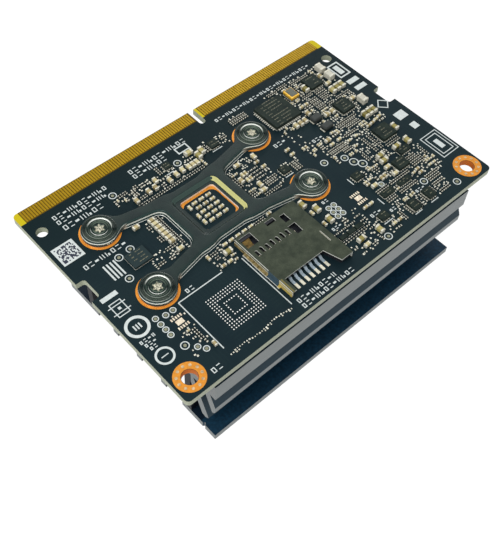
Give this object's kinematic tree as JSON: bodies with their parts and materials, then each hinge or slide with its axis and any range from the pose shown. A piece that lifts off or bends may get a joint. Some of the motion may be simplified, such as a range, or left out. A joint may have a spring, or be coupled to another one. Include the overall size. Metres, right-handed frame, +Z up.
{
  "type": "compute module",
  "caption": "Card-edge compute module: a circuit board with a stiffening backplate and a memory-card socket on top, and a finned heatsink below.",
  "frame": {"origin": "under the middle of the board, on the plane that the heatsink's flanges rest on", "axes": "+X along the contact edge, +Y towards the contact edge, +Z up from the heatsink to the board"},
  "size_m": [0.0696, 0.045, 0.0215],
  "materials": {
    "board_mask": "satin",
    "contact_gold": "polished",
    "ring_gold": "satin",
    "via_tin": "satin",
    "backplate_steel": "satin",
    "screw_steel": "satin",
    "heatsink_alloy": "anodised",
    "package_green": "satin",
    "package_black": "matt",
    "pad_grey": "matt",
    "shell_steel": "satin",
    "housing_plastic": "matt",
    "contact_tin": "satin",
    "leaf_brass": "satin",
    "slider_plastic": "matt",
    "spring_steel": "satin",
    "crystal_gold": "satin",
    "inductor_ferrite": "matt",
    "capacitor_tan": "satin",
    "capacitor_olive": "satin",
    "resistor_body": "satin",
    "bare_pads": "satin",
    "print_white": "matt",
    "print_ink": "matt"
  },
  "bodies": {
    "module": {"circuit_board": "board_mask", "upper_edge_contacts": "contact_gold", "lower_edge_contacts": "contact_gold", "fixing_hole_rings": "ring_gold", "ring_vias": "via_tin", "backplate_pad_rings": "ring_gold", "window_pad_frame": "ring_gold", "backplate": "backplate_steel", "backplate_screws": "screw_steel", "heatsink": "heatsink_alloy", "processor_package": "package_green", "processor_thermal_pad": "pad_grey", "memory_chips": "package_black", "memory_thermal_pads": "pad_grey", "socket_shell": "shell_steel", "socket_housing": "housing_plastic", "socket_contacts": "contact_tin", "card_detect_leaf": "leaf_brass", "latch_spring": "spring_steel", "network_controller": "package_black", "power_controllers": "package_black", "logic_chips": "package_black", "crystal": "crystal_gold", "power_inductors": "inductor_ferrite", "diode_arrays": "package_black", "unfitted_chip_pads": "bare_pads", "unfitted_array_pads": "bare_pads", "window_capacitors": "capacitor_tan", "rear_capacitors": "capacitor_tan", "left_capacitors": "capacitor_tan", "centre_capacitors": "capacitor_tan", "right_capacitors": "capacitor_tan", "bulk_capacitors": "capacitor_olive", "output_capacitors": "capacitor_tan", "rear_resistors": "resistor_body", "left_resistors": "resistor_body", "centre_resistors": "resistor_body", "right_rear_resistors": "resistor_body", "right_front_resistors": "resistor_body", "test_point_rings": "print_white", "test_point_pads": "bare_pads", "printed_outlines": "print_white", "printed_marks": "print_white", "printed_lines": "print_white", "code_label": "print_white", "code_cells": "print_ink"},
    "slider": {"latch_slider": "slider_plastic"}
  },
  "joints": [
    {"name": "latch_slide", "type": "slide", "parent": "module", "child": "slider", "axis": [0, 1, 0], "range_m": [0, 0.0012], "stiffness_N_per_m": 200, "springref_m": -0.0006, "deforming": ["latch_spring"]}
  ]
}
